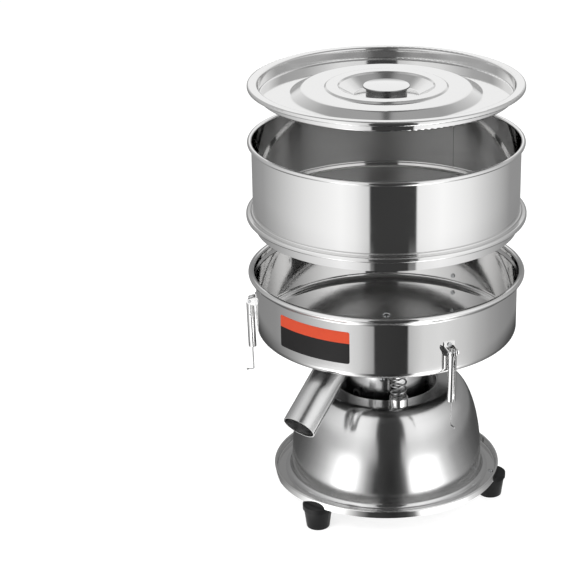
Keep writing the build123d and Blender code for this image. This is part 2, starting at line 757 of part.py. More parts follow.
def make_lid():
    half = LID_SHEET / 2
    rim_z = lid_top - half
    rim_mid = lid_radius - half
    flat = lid_flat_z - half
    plateau = lid_plateau_z - half
    recess = lid_recess_z - half
    line = FilletPolyline(
        (0, recess),
        (LID_RECESS_FLOOR, recess),
        (LID_BEAD_INNER - 1.5, plateau),
        (LID_BEAD_INNER, plateau + LID_BEAD_RISE),
        (LID_BEAD_OUTER, plateau + LID_BEAD_RISE),
        (LID_BEAD_OUTER + 2.5, plateau),
        (LID_STEP_INNER, plateau),
        (LID_STEP_OUTER, flat),
        (lid_well_radius - LID_WELL_DRAFT, flat),
        (lid_well_radius, rim_z),
        (rim_mid, rim_z),
        (rim_mid, lid_bottom + half),
        (rim_mid - LID_RIM_HEM, lid_bottom + half),
        radius=[3.0, 0.6, 0.6, 1.4, 1.4, 6.0, 6.0, 2.2, 2.2, 2.0, 0.9],
    )
    lid = pressed(line, LID_SHEET)
    hole = Pos(0, 0, recess - 2) * Cylinder(KNOB_SCREW_RADIUS + SCREW_GAP, 4, align=UP)
    return lid - hole


def make_knob():
    """Round pressed knob, hollow below, with a boss for its screw."""
    foot = lid_recess_z
    top = foot + KNOB_HEIGHT
    lip_top = top - KNOB_CROWN
    lip_low = lip_top - KNOB_LIP
    with BuildSketch() as outside:
        with BuildLine():
            Line((0, foot), (KNOB_SIDE_RADIUS, foot))
            Line((KNOB_SIDE_RADIUS, foot), (KNOB_SIDE_RADIUS, lip_low))
            Line((KNOB_SIDE_RADIUS, lip_low), (KNOB_RADIUS - 0.8, lip_low))
            ThreePointArc(
                (KNOB_RADIUS - 0.8, lip_low),
                (KNOB_RADIUS, (lip_low + lip_top) / 2),
                (KNOB_RADIUS - 0.8, lip_top),
            )
            ThreePointArc(
                (KNOB_RADIUS - 0.8, lip_top),
                crown_middle(KNOB_RADIUS - 0.8, lip_top, top),
                (0, top),
            )
            Line((0, top), (0, foot))
        make_face()
    knob = turned(outside.sketch)
    roof = lip_low - KNOB_WALL / 2
    knob -= ring(KNOB_BOSS_RADIUS, KNOB_SIDE_RADIUS - KNOB_WALL, foot, roof)
    bore = Pos(0, 0, foot) * Cylinder(KNOB_SCREW_RADIUS + RUN_GAP, KNOB_SCREW_REACH + 0.5, align=UP)
    return knob - bore


def make_knob_screw():
    head_radius, head_height = KNOB_SCREW_HEAD
    seat = lid_recess_z - LID_SHEET
    head = Pos(0, 0, seat) * Rot(180, 0, 0) * dome_head(head_radius, head_height)
    shank = Pos(0, 0, seat) * Cylinder(KNOB_SCREW_RADIUS, LID_SHEET + KNOB_SCREW_REACH, align=UP)
    return head + shank


# Motor can and what it holds

def radial_screw(radius, z, screw_radius, head, reach):
    """A screw driven in towards the axis at the front, its head outside the given radius."""
    head_radius, head_height = head
    shank = round_bar((0, -radius, z), (0, -radius + reach, z), screw_radius)
    seat = Plane(origin=(0, -radius - SLIP_GAP, z), z_dir=(0, -1, 0))
    neck = round_bar((0, -radius, z), (0, -radius - SLIP_GAP, z), screw_radius)
    return shank + neck + seat * dome_head(head_radius, head_height)


def radial_holes(bearings, radius, z, hole_radius, reach):
    hole = round_bar((0, -radius - 2, z), (0, -radius + reach, z), hole_radius)
    return around(bearings, hole)


def cap_screw_z():
    return can_bottom + CAN_SHEET + CAP_SKIRT / 2


def lead_exit_bar(radius):
    """A bar through the can's wall where the motor lead comes out."""
    z = pan_bottom - LEAD_EXIT_DEPTH
    return round_bar(
        place(LEAD_EXIT_BEARING, can_inner - 1, z), place(LEAD_EXIT_BEARING, CAN_RADIUS + 3, z), radius
    )


def make_can():
    line = FilletPolyline(
        (0, pan_bottom - CAN_SHEET / 2),
        (CAN_RADIUS - CAN_SHEET / 2, pan_bottom - CAN_SHEET / 2),
        (CAN_RADIUS - CAN_SHEET / 2, can_bottom),
        radius=CAN_CORNER,
    )
    can = pressed(line, CAN_SHEET)
    bolt_hole = Pos(0, -CAN_BOLT_CIRCLE, pan_bottom) * Cylinder(CAN_BOLT_RADIUS + SCREW_GAP, 4 * CAN_SHEET)
    for bearing in CAN_BOLT_BEARINGS:
        can -= Rot(0, 0, bearing) * bolt_hole
    stator_screw_z = pan_bottom - STATOR_SCREW_DEPTH
    can -= radial_holes(
        STATOR_SCREW_BEARINGS, CAN_RADIUS, stator_screw_z, STATOR_SCREW_RADIUS + SCREW_GAP, 4
    )
    can -= radial_holes(CAP_SCREW_BEARINGS, CAN_RADIUS, cap_screw_z(), CAP_SCREW_RADIUS + SCREW_GAP, 4)
    return can - lead_exit_bar(GROMMET_RADIUS + RUN_GAP)


def make_can_bolts():
    head_radius, head_height = CAN_BOLT_HEAD
    nut_across, nut_height = CAN_NUT
    inside = pan_bottom - CAN_SHEET
    here = Pos(0, -CAN_BOLT_CIRCLE, 0)
    bolt = Pos(0, 0, pan_floor) * dome_head(head_radius, head_height)
    bolt += Pos(0, 0, pan_floor - CAN_BOLT_LENGTH) * Cylinder(CAN_BOLT_RADIUS, CAN_BOLT_LENGTH, align=UP)
    nut = Pos(0, 0, inside - nut_height) * hexagon_nut(nut_across, nut_height, CAN_BOLT_RADIUS + RUN_GAP)
    return here * bolt, here * nut


def make_stator():
    core = ring(STATOR_BORE, can_inner - SLIP_GAP, stator_bottom, stator_top)
    width, depth = STATOR_SLOT
    slot = Pos(0, -STATOR_BORE, stator_bottom) * Box(
        width, 2 * depth, STATOR_LENGTH, align=(Align.CENTER, Align.CENTER, Align.MIN)
    )
    for step in range(STATOR_SLOTS):
        core -= Rot(0, 0, step * 360 / STATOR_SLOTS) * slot
    stator_screw_z = pan_bottom - STATOR_SCREW_DEPTH
    holes = radial_holes(
        STATOR_SCREW_BEARINGS,
        CAN_RADIUS,
        stator_screw_z,
        STATOR_SCREW_RADIUS + RUN_GAP,
        STATOR_SCREW_REACH + 0.5,
    )
    return core - holes


def make_winding():
    """The coil ends above and below the stator."""
    coils = []
    for low in (stator_top + SLIP_GAP, stator_bottom - SLIP_GAP - WINDING_HEIGHT):
        coil = ring(WINDING_INNER, WINDING_OUTER, low, low + WINDING_HEIGHT)
        coils.append(fillet(coil.edges(), 2.0))
    return group(coils)


def make_bearing_bracket(face):
    """Plate with a hub, its flat side at the given height and its hub towards the stator."""
    outer = can_inner - SLIP_GAP
    hub = BEARING_RADIUS + RUN_GAP + BRACKET_HUB
    plate = ring(BEARING_RADIUS + RUN_GAP, outer, 0, BRACKET_PLATE)
    plate += ring(BEARING_RADIUS + RUN_GAP, hub, 0, BEARING_WIDTH)
    return face * plate


def upper_bracket_face():
    return Pos(0, 0, stator_top + BRACKET_CLEAR + BRACKET_PLATE) * Rot(180, 0, 0)


def lower_bracket_face():
    return Pos(0, 0, stator_bottom - BRACKET_CLEAR - BRACKET_PLATE)


def make_bearing():
    bearing = ring(SHAFT_RADIUS + RUN_GAP, BEARING_RADIUS, 0, BEARING_WIDTH)
    groove = ring(BEARING_RADIUS * 0.55, BEARING_RADIUS * 0.85, BEARING_WIDTH - 0.6, BEARING_WIDTH)
    bearing -= groove
    return bearing - Pos(0, 0, 0.6 - BEARING_WIDTH) * groove


def make_shaft():
    top = pan_bottom - SHAFT_TOP_DEPTH
    shaft = Pos(0, 0, top - SHAFT_LENGTH) * Cylinder(SHAFT_RADIUS, SHAFT_LENGTH, align=UP)
    return chamfer(shaft.edges().filter_by(GeomType.CIRCLE), 0.8)


def make_rotor():
    low = stator_bottom + 2
    high = stator_top - 2
    return ring(SHAFT_RADIUS + RUN_GAP, STATOR_BORE - AIR_GAP, low, high)


def make_weight(low, bearing):
    """Half-disc weight with a round hub, clamped on the shaft."""
    half = Cylinder(WEIGHT_RADIUS, WEIGHT_THICKNESS, align=UP)
    half &= Pos(0, -WEIGHT_RADIUS, 0) * Box(
        3 * WEIGHT_RADIUS, 2 * WEIGHT_RADIUS, WEIGHT_THICKNESS, align=UP
    )
    weight = half + Cylinder(WEIGHT_HUB, WEIGHT_THICKNESS, align=UP)
    weight -= Cylinder(SHAFT_RADIUS + RUN_GAP, WEIGHT_THICKNESS, align=UP)
    middle = WEIGHT_THICKNESS / 2
    weight -= round_bar((0, 0, middle), (0, WEIGHT_HUB + 1, middle), WEIGHT_SCREW_RADIUS + RUN_GAP)
    return Pos(0, 0, low) * Rot(0, 0, bearing) * weight


def make_weight_screw(low, bearing):
    middle = WEIGHT_THICKNESS / 2
    screw = round_bar(
        (0, SHAFT_RADIUS + RUN_GAP + 0.1, middle), (0, WEIGHT_HUB + 1.5, middle), WEIGHT_SCREW_RADIUS
    )
    return Pos(0, 0, low) * Rot(0, 0, bearing) * screw


def upper_weight_low():
    return stator_top + BRACKET_CLEAR + BRACKET_PLATE + WEIGHT_CLEAR


def lower_weight_low():
    return stator_bottom - BRACKET_CLEAR - BRACKET_PLATE - WEIGHT_CLEAR - WEIGHT_THICKNESS


def make_end_cap():
    """Cup that closes the can's lower end, with its skirt inside the can."""
    outer = can_inner - SLIP_GAP
    cap = disc(CAN_RADIUS, can_bottom - CAN_SHEET, can_bottom)
    cap += ring(outer - CAN_SHEET, outer, can_bottom, cap_screw_z() + CAP_SKIRT / 2)
    return cap - radial_holes(
        CAP_SCREW_BEARINGS, CAN_RADIUS, cap_screw_z(), CAP_SCREW_RADIUS + RUN_GAP, 6
    )


# Motor lead

def box_top():
    return tray_top + BOX_SIZE[2]


def make_lead():
    """Lead from the can's grommet, in an arch over the bowl's lip, down to the terminal box."""
    exit_z = pan_bottom - LEAD_EXIT_DEPTH
    arch_z = bowl_top + LEAD_ARCH
    turn = (LEAD_DROP_BEARING - LEAD_EXIT_BEARING) / 5
    points = [
        place(LEAD_EXIT_BEARING, can_inner - 1, exit_z),
        place(LEAD_EXIT_BEARING, LEAD_CIRCLE, exit_z),
        place(LEAD_EXIT_BEARING + turn, LEAD_CIRCLE, arch_z),
        place(LEAD_DROP_BEARING - turn, LEAD_CIRCLE, arch_z),
        place(LEAD_DROP_BEARING, LEAD_CIRCLE, exit_z),
        place(BOX_BEARING, BOX_CIRCLE, box_top() + 3 * LEAD_TURN),
        place(BOX_BEARING, BOX_CIRCLE, box_top() - BOX_SOCKET + RUN_GAP),
    ]
    path = FilletPolyline(*points, radius=LEAD_TURN)
    section = Plane(origin=path @ 0, z_dir=path % 0) * Circle(LEAD_RADIUS)
    return sweep(section, path=path)


def make_grommet():
    z = pan_bottom - LEAD_EXIT_DEPTH
    flange_radius, flange_height = GROMMET_FLANGE
    inside = place(LEAD_EXIT_BEARING, can_inner - 0.5, z)
    outside = place(LEAD_EXIT_BEARING, CAN_RADIUS, z)
    rim = place(LEAD_EXIT_BEARING, CAN_RADIUS + flange_height, z)
    grommet = round_bar(inside, outside, GROMMET_RADIUS) + round_bar(outside, rim, flange_radius)
    grommet -= lead_exit_bar(LEAD_RADIUS + RUN_GAP)
    can_wall = ring(can_inner, CAN_RADIUS, z - 3 * flange_radius, z + 3 * flange_radius)
    return grommet - (can_wall - lead_exit_bar(GROMMET_RADIUS + RUN_GAP))


def make_terminal_box():
    here = place(BOX_BEARING, BOX_CIRCLE, tray_top)
    box = extrude(RectangleRounded(BOX_SIZE[0], BOX_SIZE[1], BOX_ROUND), BOX_SIZE[2])
    box = fillet(box.edges().group_by(Axis.Z)[-1], BOX_ROUND * 0.8)
    box -= Pos(0, 0, BOX_SIZE[2]) * Cylinder(LEAD_RADIUS + RUN_GAP, 2 * BOX_SOCKET)
    return Pos(here) * Rot(0, 0, BOX_BEARING) * box


# Switch and gland at the back

def switch_pivot():
    """Radius and height of the rocker's pivot."""
    return BOWL_RADIUS + SWITCH_PROUD - ROCKER_BACK - ROCKER_PROUD / 2, tray_top + SWITCH_RISE


def make_switch_body(outside):
    radius, z = switch_pivot()
    face = BOWL_RADIUS + SWITCH_PROUD
    bezel = Pos(0, -face, z) * Box(
        SWITCH_WIDTH + 2 * SWITCH_BEZEL,
        8.0,
        SWITCH_HEIGHT + 2 * SWITCH_BEZEL,
        align=(Align.CENTER, Align.MIN, Align.CENTER),
    )
    bezel = fillet(bezel.edges().filter_by(Axis.Y), SWITCH_ROUND)
    bezel = chamfer(bezel.faces().sort_by(Axis.Y)[0].edges(), 0.6)
    bezel -= outside
    neck = Pos(0, -face, z) * Box(
        SWITCH_WIDTH,
        SWITCH_DEPTH + SWITCH_PROUD,
        SWITCH_HEIGHT,
        align=(Align.CENTER, Align.MIN, Align.CENTER),
    )
    body = bezel + neck
    well = ROCKER_HALF + 1.4
    half = ROCKER_WIDTH / 2 + SEAT_GAP
    body -= round_bar((-half, -radius, z), (half, -radius, z), well)
    return body + round_bar((-half, -radius, z), (half, -radius, z), ROCKER_PIN_RADIUS)


def make_rocker():
    """Rocker with a dished face, tipped to its off side."""
    radius, z = switch_pivot()
    with BuildSketch(Plane.YZ) as side:
        with BuildLine():
            Line((-ROCKER_PROUD, ROCKER_HALF), (ROCKER_BACK, ROCKER_HALF))
            Line((ROCKER_BACK, ROCKER_HALF), (ROCKER_BACK, -ROCKER_HALF))
            Line((ROCKER_BACK, -ROCKER_HALF), (-ROCKER_PROUD, -ROCKER_HALF))
            ThreePointArc((-ROCKER_PROUD, -ROCKER_HALF), (-ROCKER_DISH, 0), (-ROCKER_PROUD, ROCKER_HALF))
        make_face()
    rocker = extrude(side.sketch, ROCKER_WIDTH / 2, both=True)
    width = ROCKER_WIDTH
    rocker -= round_bar((-width, 0, 0), (width, 0, 0), ROCKER_PIN_RADIUS + RUN_GAP)
    slot = Pos(0, ROCKER_BACK, 0) * Box(width * 2, 2 * ROCKER_BACK, 2 * (ROCKER_PIN_RADIUS + RUN_GAP))
    return Pos(0, -radius, z) * Rot(ROCKER_TILT, 0, 0) * (rocker - slot)


def make_gland(outside):
    z = tray_top + GLAND_RISE
    face = BOWL_RADIUS + GLAND_PROUD
    inner = BOWL_RADIUS - GLAND_NUT_DEPTH - GLAND_NUT[1] - SHEET
    dome = round_bar((0, -BOWL_RADIUS + 3, z), (0, -face, z), GLAND_FLANGE)
    dome = fillet(dome.edges().filter_by(GeomType.CIRCLE).sort_by(Axis.Y)[0], 2.5)
    gland = (dome - outside) + round_bar((0, -face + 1, z), (0, -inner, z), GLAND_RADIUS)
    return gland - round_bar((0, -face - 1, z), (0, -inner + 1, z), GLAND_BORE)


def make_gland_nut():
    z = tray_top + GLAND_RISE
    across, height = GLAND_NUT
    seat = -(BOWL_RADIUS - GLAND_NUT_DEPTH)
    nut = hexagon_nut(across, height, GLAND_RADIUS + RUN_GAP)
    return Plane(origin=(0, seat, z), z_dir=(0, 1, 0)) * nut


def build():
    """Every piece by its name."""
    outside = bowl_body(0)
    foot_screw, foot_washer, foot_nut = make_foot_fasteners()
    cup_screw, cup_nut = make_cup_fasteners()
    can_bolt, can_nut = make_can_bolts()
    stator_screw_z = pan_bottom - STATOR_SCREW_DEPTH
    stator_screw = radial_screw(
        CAN_RADIUS, stator_screw_z, STATOR_SCREW_RADIUS, STATOR_SCREW_HEAD, STATOR_SCREW_REACH
    )
    cap_screw = radial_screw(CAN_RADIUS, cap_screw_z(), CAP_SCREW_RADIUS, CAP_SCREW_HEAD, 4.5)
    upper_weight = (upper_weight_low(), 0)
    lower_weight = (lower_weight_low(), WEIGHT_ANGLE)
    bearing = make_bearing()
    parts = {
        "base_tray": make_base_tray(),
        "rubber_feet": around(FOOT_BEARINGS, make_foot()),
        "foot_screws": around(FOOT_BEARINGS, foot_screw),
        "foot_washers": around(FOOT_BEARINGS, foot_washer),
        "foot_nuts": around(FOOT_BEARINGS, foot_nut),
        "bowl_housing": make_bowl(outside),
        "spring_cups": around(SPRING_BEARINGS, make_spring_cup()),
        "cup_screws": around(SPRING_BEARINGS, cup_screw),
        "cup_nuts": around(SPRING_BEARINGS, cup_nut),
        "support_springs": around(SPRING_BEARINGS, make_spring()),
        "terminal_box": make_terminal_box(),
        "switch_body": Rot(0, 0, SWITCH_BEARING) * make_switch_body(outside),
        "switch_rocker": Rot(0, 0, SWITCH_BEARING) * make_rocker(),
        "cable_gland": Rot(0, 0, GLAND_BEARING) * make_gland(outside),
        "gland_nut": Rot(0, 0, GLAND_BEARING) * make_gland_nut(),
        "pan_shell": make_pan(),
        "spout_tube": make_spout(),
        "spring_upper_seats": around(SPRING_BEARINGS, make_upper_seat()),
        "latch_plates": around(LATCH_BEARINGS, make_latch_plate()),
        "latch_rivets": around(LATCH_BEARINGS, make_rivets()),
        "latch_pivot_pins": around(LATCH_BEARINGS, make_pivot_pins()),
        "motor_can": make_can(),
        "can_bolts": around(CAN_BOLT_BEARINGS, can_bolt),
        "can_nuts": around(CAN_BOLT_BEARINGS, can_nut),
        "stator_core": make_stator(),
        "stator_winding": make_winding(),
        "stator_screws": around(STATOR_SCREW_BEARINGS, stator_screw),
        "upper_bearing_bracket": make_bearing_bracket(upper_bracket_face()),
        "lower_bearing_bracket": make_bearing_bracket(lower_bracket_face()),
        "motor_bearings": group([upper_bracket_face() * bearing, lower_bracket_face() * bearing]),
        "motor_end_cap": make_end_cap(),
        "end_cap_screws": around(CAP_SCREW_BEARINGS, cap_screw),
        "lead_grommet": make_grommet(),
        "motor_lead": make_lead(),
        "motor_shaft": make_shaft(),
        "rotor_core": make_rotor(),
        "upper_eccentric_weight": make_weight(*upper_weight),
        "lower_eccentric_weight": make_weight(*lower_weight),
        "weight_screws": group([make_weight_screw(*upper_weight), make_weight_screw(*lower_weight)]),
        "drum_shell": make_drum(),
        "drum_skirt": make_skirt(),
        "screen_seal": make_seal(),
        "mesh_screen": make_mesh(),
        "screen_clamp_ring": make_clamp_ring(),
        "lid_shell": make_lid(),
        "lid_knob": make_knob(),
        "lid_knob_screw": make_knob_screw(),
    }
    lever = make_lever()
    hook_pin = make_hook_pin()
    hook = make_hook()
    for number, bearing in enumerate(LATCH_BEARINGS, start=1):
        turn = Rot(0, 0, bearing)
        parts[f"latch_lever_{number}"] = turn * lever
        parts[f"latch_hook_pin_{number}"] = turn * hook_pin
        parts[f"latch_hook_{number}"] = turn * hook
    return parts


os.makedirs("parts", exist_ok=True)
for name, shape in build().items():
    export_step(shape, f"parts/{name}.step")
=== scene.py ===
"""The looks of a vibrating sieve: steel finishes, small trim, studio and camera."""
import json
import math

import bpy
import bmesh
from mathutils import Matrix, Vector


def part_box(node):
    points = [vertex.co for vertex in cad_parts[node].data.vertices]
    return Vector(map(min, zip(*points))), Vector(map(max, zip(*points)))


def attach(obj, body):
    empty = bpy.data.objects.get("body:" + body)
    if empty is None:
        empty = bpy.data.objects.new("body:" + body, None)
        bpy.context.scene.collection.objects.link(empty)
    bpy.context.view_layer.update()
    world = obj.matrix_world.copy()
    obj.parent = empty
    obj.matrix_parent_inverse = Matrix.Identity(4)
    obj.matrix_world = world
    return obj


# The camera, in metres, at the photograph's viewing angle
CAMERA_PLACE = (0.0, -1.998, 1.0752)
CAMERA_AIM = (0.0, 0.0, 0.2565)
CAMERA_LENS = 118.51
CAMERA_SENSOR = 36.0
CAMERA_SHIFT = -0.1744

# The light tent that the polished steel mirrors
TENT_RADIUS = 0.55
TENT_TOP = 1.15
TENT_SEGMENTS = 96
TENT_RINGS = 24
TENT_FLOOR = (0.155, 0.002)     # where the tent's own floor begins, and how high it lies
# Light by bearing from the camera's side, in degrees, at five levels of the tent
TENT_GROUND = ((-180, 0.06), (-130, 0.08), (-110, 0.10), (-97, 0.16), (-85, 0.28), (-75, 0.46),
               (-65, 0.76), (-55, 1.35), (-47, 2.20), (-41, 2.60), (-36, 2.50), (-31, 1.90),
               (-25, 1.05), (-18, 0.40), (-11, 0.06), (5, 0.03), (13, 0.06), (18, 0.20),
               (23, 1.60), (29, 2.60), (44, 2.60), (52, 1.80), (62, 0.95), (75, 0.46), (90, 0.26),
               (105, 0.14), (120, 0.09), (180, 0.06))
TENT_LOW = ((-180, 0.20), (-120, 0.30), (-100, 0.33), (-80, 0.44), (-60, 0.62), (-44, 0.80),
            (-33, 0.98), (-20, 0.78), (-9.4, 0.42), (-8.6, 0.05), (15.6, 0.040), (16.4, 0.60),
            (28, 0.86), (42, 0.92), (62, 0.74), (76, 0.55), (90, 0.42), (105, 0.34),
            (125, 0.28), (180, 0.20))
TENT_SIDE = ((-180, 0.26), (-143, 0.30), (-115, 0.40), (-97, 0.56), (-85, 0.70), (-74, 0.84),
             (-63, 0.98), (-48, 1.12), (-33, 1.24), (-23, 1.12), (-12.4, 0.80), (-11.6, 0.05),
             (21.2, 0.055), (22.0, 1.10), (41, 1.26), (56, 1.14), (65, 1.04), (76, 0.86),
             (87, 0.70), (99, 0.55), (115, 0.36), (180, 0.26))
TENT_HIGH = ((-180, 1.06), (-155, 1.06), (-130, 0.55), (-100, 0.60), (-60, 1.1), (-33, 1.2),
             (-12.4, 0.9), (-11.6, 0.07), (21.2, 0.07), (22.0, 1.1), (52, 1.15), (95, 0.62),
             (130, 0.55), (155, 1.06), (180, 1.06))
TENT_CROWN = ((-180, 0.14), (-163, 0.17), (-140, 0.42), (-90, 0.46), (-50, 0.5), (-20, 0.16),
              (25, 0.16), (50, 0.5), (90, 0.46), (140, 0.42), (163, 0.17), (180, 0.14))

# Steel: its polished tone, the depth in metres of its slow waves and of its fine lines
POLISHED_TONE = 0.76
WAVE_DEPTH = 0.00004
LINE_DEPTH = 0.000004
UNDERSIDE_PAINTED_SHADE = 0.10   # painted shade: the gray of the pan's faces that point down, which lie in shade

# The weld in the drum's wall, by its turn round the axis from +X, and its half width, in radians
SEAM_TURN = 1.012
SEAM_HALF = 0.0035

# The label's place on the pan's wall
PAN_RADIUS = 0.149
LABEL_BEARINGS = (-51.2, -15.5)
LABEL_HEIGHT = 0.0372
LABEL_TOP_SHARE = 0.36  # how much of it the orange band takes
LABEL_BELOW_RIM = 0.0210
LABEL_THICKNESS = 0.00025
LABEL_CORNER = 0.0022
LABEL_STEPS = 48

# The way of the spout, as in the solids
SPOUT_BEARING = -34.9
SPOUT_DROP = 37.0

# Lamps and floor
FLOOR_HALF = 6.0
FLOOR_COLOUR = 0.42
FLOOR_GLOW = 0.72
SURROUND_PLAIN = 0.55   # the surround's light on plain surfaces; in view it is white
LAMP_AIM = (0.0, 0.0, 0.2)
LAMP_SIZE = 1.2
LAMPS = (("key_lamp", (-1.1, -1.4, 1.9), 34.0),
         ("fill_lamp", (1.4, -1.0, 1.5), 22.0),
         ("top_lamp", (0.1, 0.6, 2.2), 22.0))

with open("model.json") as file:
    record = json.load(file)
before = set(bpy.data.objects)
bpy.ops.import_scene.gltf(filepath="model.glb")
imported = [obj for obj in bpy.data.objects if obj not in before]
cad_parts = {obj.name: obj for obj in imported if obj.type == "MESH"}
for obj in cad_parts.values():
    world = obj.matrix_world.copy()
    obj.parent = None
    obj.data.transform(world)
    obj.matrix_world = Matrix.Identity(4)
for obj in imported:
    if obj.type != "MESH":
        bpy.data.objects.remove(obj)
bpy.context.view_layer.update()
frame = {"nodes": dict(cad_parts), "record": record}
nodes = frame["nodes"]


class Graph:
    """A material whose nodes are made and linked one by one."""

    def __init__(self, name):
        self.material = bpy.data.materials.new(name)
        self.material.use_nodes = True
        self.tree = self.material.node_tree
        self.shader = self.tree.nodes["Principled BSDF"]
        self.output = self.tree.nodes["Material Output"]

    def feed(self, socket, value):
        if isinstance(value, bpy.types.NodeSocket):
            self.tree.links.new(value, socket)
        else:
            socket.default_value = value

    def node(self, kind, inputs=None, **settings):
        made = self.tree.nodes.new("ShaderNode" + kind)
        for key, value in settings.items():
            setattr(made, key, value)
        for key, value in (inputs or {}).items():
            self.feed(made.inputs[key], value)
        return made

    def set(self, **inputs):
        """Values and links for the shader's own sockets, by name with _ for a space."""
        for key, value in inputs.items():
            self.feed(self.shader.inputs[key.replace("_", " ")], value)

    def place(self):
        """The object's own coordinates, in metres, which ride with its body."""
        return self.node("TexCoord").outputs["Object"]

    def math(self, operation, *values):
        made = self.node("Math", operation=operation)
        for index, value in enumerate(values):
            self.feed(made.inputs[index], value)
        return made.outputs[0]

    def scaled(self, vector, x, y, z):
        return self.node("Mapping", {"Vector": vector, "Scale": (x, y, z)}).outputs[0]

    def noise(self, vector, scale, detail=3.0, roughness=0.55):
        inputs = {"Vector": vector, "Scale": scale, "Detail": detail, "Roughness": roughness}
        return self.node("TexNoise", inputs).outputs["Fac"]

    def spread(self, value, low, high, start=0.0, end=1.0):
        """value, moved from start..end to low..high."""
        inputs = {"Value": value, "From Min": start, "From Max": end,
                  "To Min": low, "To Max": high}
        return self.node("MapRange", inputs).outputs[0]

    def ramp(self, value, stops):
        """Gray levels along value, from (place, level) pairs."""
        made = self.node("ValToRGB", {"Fac": value})
        band = made.color_ramp
        band.interpolation = "LINEAR"
        while len(band.elements) < len(stops):
            band.elements.new(1.0)
        for element, (position, level) in zip(band.elements, stops):
            element.position = position
            element.color = gray(level)
        return made.outputs["Color"]

    def mix(self, fraction, first, second):
        made = self.node("Mix", {"Factor": fraction}, data_type="RGBA")
        self.feed(made.inputs[6], first)
        self.feed(made.inputs[7], second)
        return made.outputs[2]

    def bump(self, height, distance, strength=1.0, under=None):
        inputs = {"Height": height, "Distance": distance, "Strength": strength}
        if under is not None:
            inputs["Normal"] = under
        return self.node("Bump", inputs).outputs[0]


def gray(level):
    return (level, level, level, 1.0)


def round_axis(graph):
    """Coordinates wrapped round the object's axis: angle, distance from it, and height."""
    parts = graph.node("SeparateXYZ", {"Vector": graph.place()}).outputs
    angle = graph.math("ARCTAN2", parts["Y"], parts["X"])
    squares = graph.math("MULTIPLY_ADD", parts["Y"], parts["Y"],
                         graph.math("MULTIPLY", parts["X"], parts["X"]))
    radius = graph.math("SQRT", squares)
    joined = graph.node("CombineXYZ", {"X": angle, "Y": radius, "Z": parts["Z"]})
    return joined.outputs[0]


def turned_normal(graph):
    """The surface's normal on a form turned round the object's axis, and its slant from 0 to 1.

    The slant is 0 on walls and flats, and 1 where a rolled rim faces half way up.
    """
    world = graph.node("NewGeometry").outputs["Normal"]
    normal = graph.node("VectorTransform", {"Vector": world}, vector_type="NORMAL",
                        convert_from="WORLD", convert_to="OBJECT").outputs[0]
    parts = graph.node("SeparateXYZ", {"Vector": graph.place()}).outputs
    out = graph.node("CombineXYZ", {"X": parts["X"], "Y": parts["Y"]}).outputs[0]
    out = graph.node("VectorMath", {0: out}, operation="NORMALIZE").outputs[0]
    across = graph.node("VectorMath", {0: normal, 1: out}, operation="DOT_PRODUCT")
    up = graph.node("SeparateXYZ", {"Vector": normal}).outputs["Z"]
    side = graph.node("VectorMath", {0: out, "Scale": across.outputs["Value"]},
                      operation="SCALE").outputs[0]
    top = graph.node("CombineXYZ", {"Z": up}).outputs[0]
    joined = graph.node("VectorMath", {0: side, 1: top}, operation="ADD").outputs[0]
    back = graph.node("VectorTransform", {"Vector": joined}, vector_type="NORMAL",
                      convert_from="OBJECT", convert_to="WORLD").outputs[0]
    square = graph.math("MULTIPLY", up, up)
    four = graph.math("MULTIPLY", square, 4.0)
    slant = graph.math("MULTIPLY", four, graph.math("SUBTRACT", 1.0, square))
    return back, slant


def polished_steel(name, tone=POLISHED_TONE, rough=(0.035, 0.09), turned=True, rim=0.16,
                   seam=False, paint_shade_below=False):
    """Mirror-polished sheet with slight spinning waves, wipe marks and fine lines.

    A turned piece mirrors as if truly round, and its rolled rims are duller by rim. seam adds
    the weld of a wall, and paint_shade_below paints what faces down dark as painted shade and makes
    it rougher.
    """
    graph = Graph(name)
    round_way = round_axis(graph)
    place = graph.place()
    lines = graph.noise(graph.scaled(round_way, 0.6, 900.0, 900.0), 1.0, 4.0)
    haze = graph.noise(place, 22.0, 4.0)
    patches = graph.noise(place, 7.0, 2.0)
    roughness = graph.math("MULTIPLY_ADD", graph.spread(haze, rough[0], rough[1], 0.35, 0.7),
                           1.0, graph.spread(lines, 0.0, 0.03, 0.4, 0.8))
    colour = graph.mix(patches, (tone * 0.97, tone * 0.965, tone * 0.955, 1),
                       (tone, tone, tone * 1.002, 1))
    waves = graph.noise(graph.scaled(round_way, 1.6, 9.0, 9.0), 1.0, 1.0, 0.3)
    if seam:
        turn = graph.node("SeparateXYZ", {"Vector": round_way}).outputs["X"]
        away = graph.math("ABSOLUTE", graph.math("SUBTRACT", turn, SEAM_TURN))
        weld = graph.spread(away, 1.0, 0.0, SEAM_HALF * 0.5, SEAM_HALF)
        colour = graph.mix(weld, colour, gray(tone * 0.62))
        roughness = graph.math("MULTIPLY_ADD", weld, 0.3, roughness)
    under = None
    if turned:
        under, slant = turned_normal(graph)
        roughness = graph.math("MULTIPLY_ADD", slant, rim, roughness)
    if paint_shade_below:
        # painted shade: faces that point down are painted dark, and made rougher
        low = graph.spread(graph.node("SeparateXYZ", {"Vector": under}).outputs["Z"],
                           1.0, 0.0, -0.95, -0.75)
        colour = graph.mix(low, colour, gray(UNDERSIDE_PAINTED_SHADE))
        roughness = graph.math("MULTIPLY_ADD", low, 0.25, roughness)
    wavy = graph.bump(waves, WAVE_DEPTH, 1.0, under)
    graph.set(Base_Color=colour, Metallic=1.0, Roughness=roughness,
              Normal=graph.bump(lines, LINE_DEPTH, 1.0, wavy))
    return graph.material


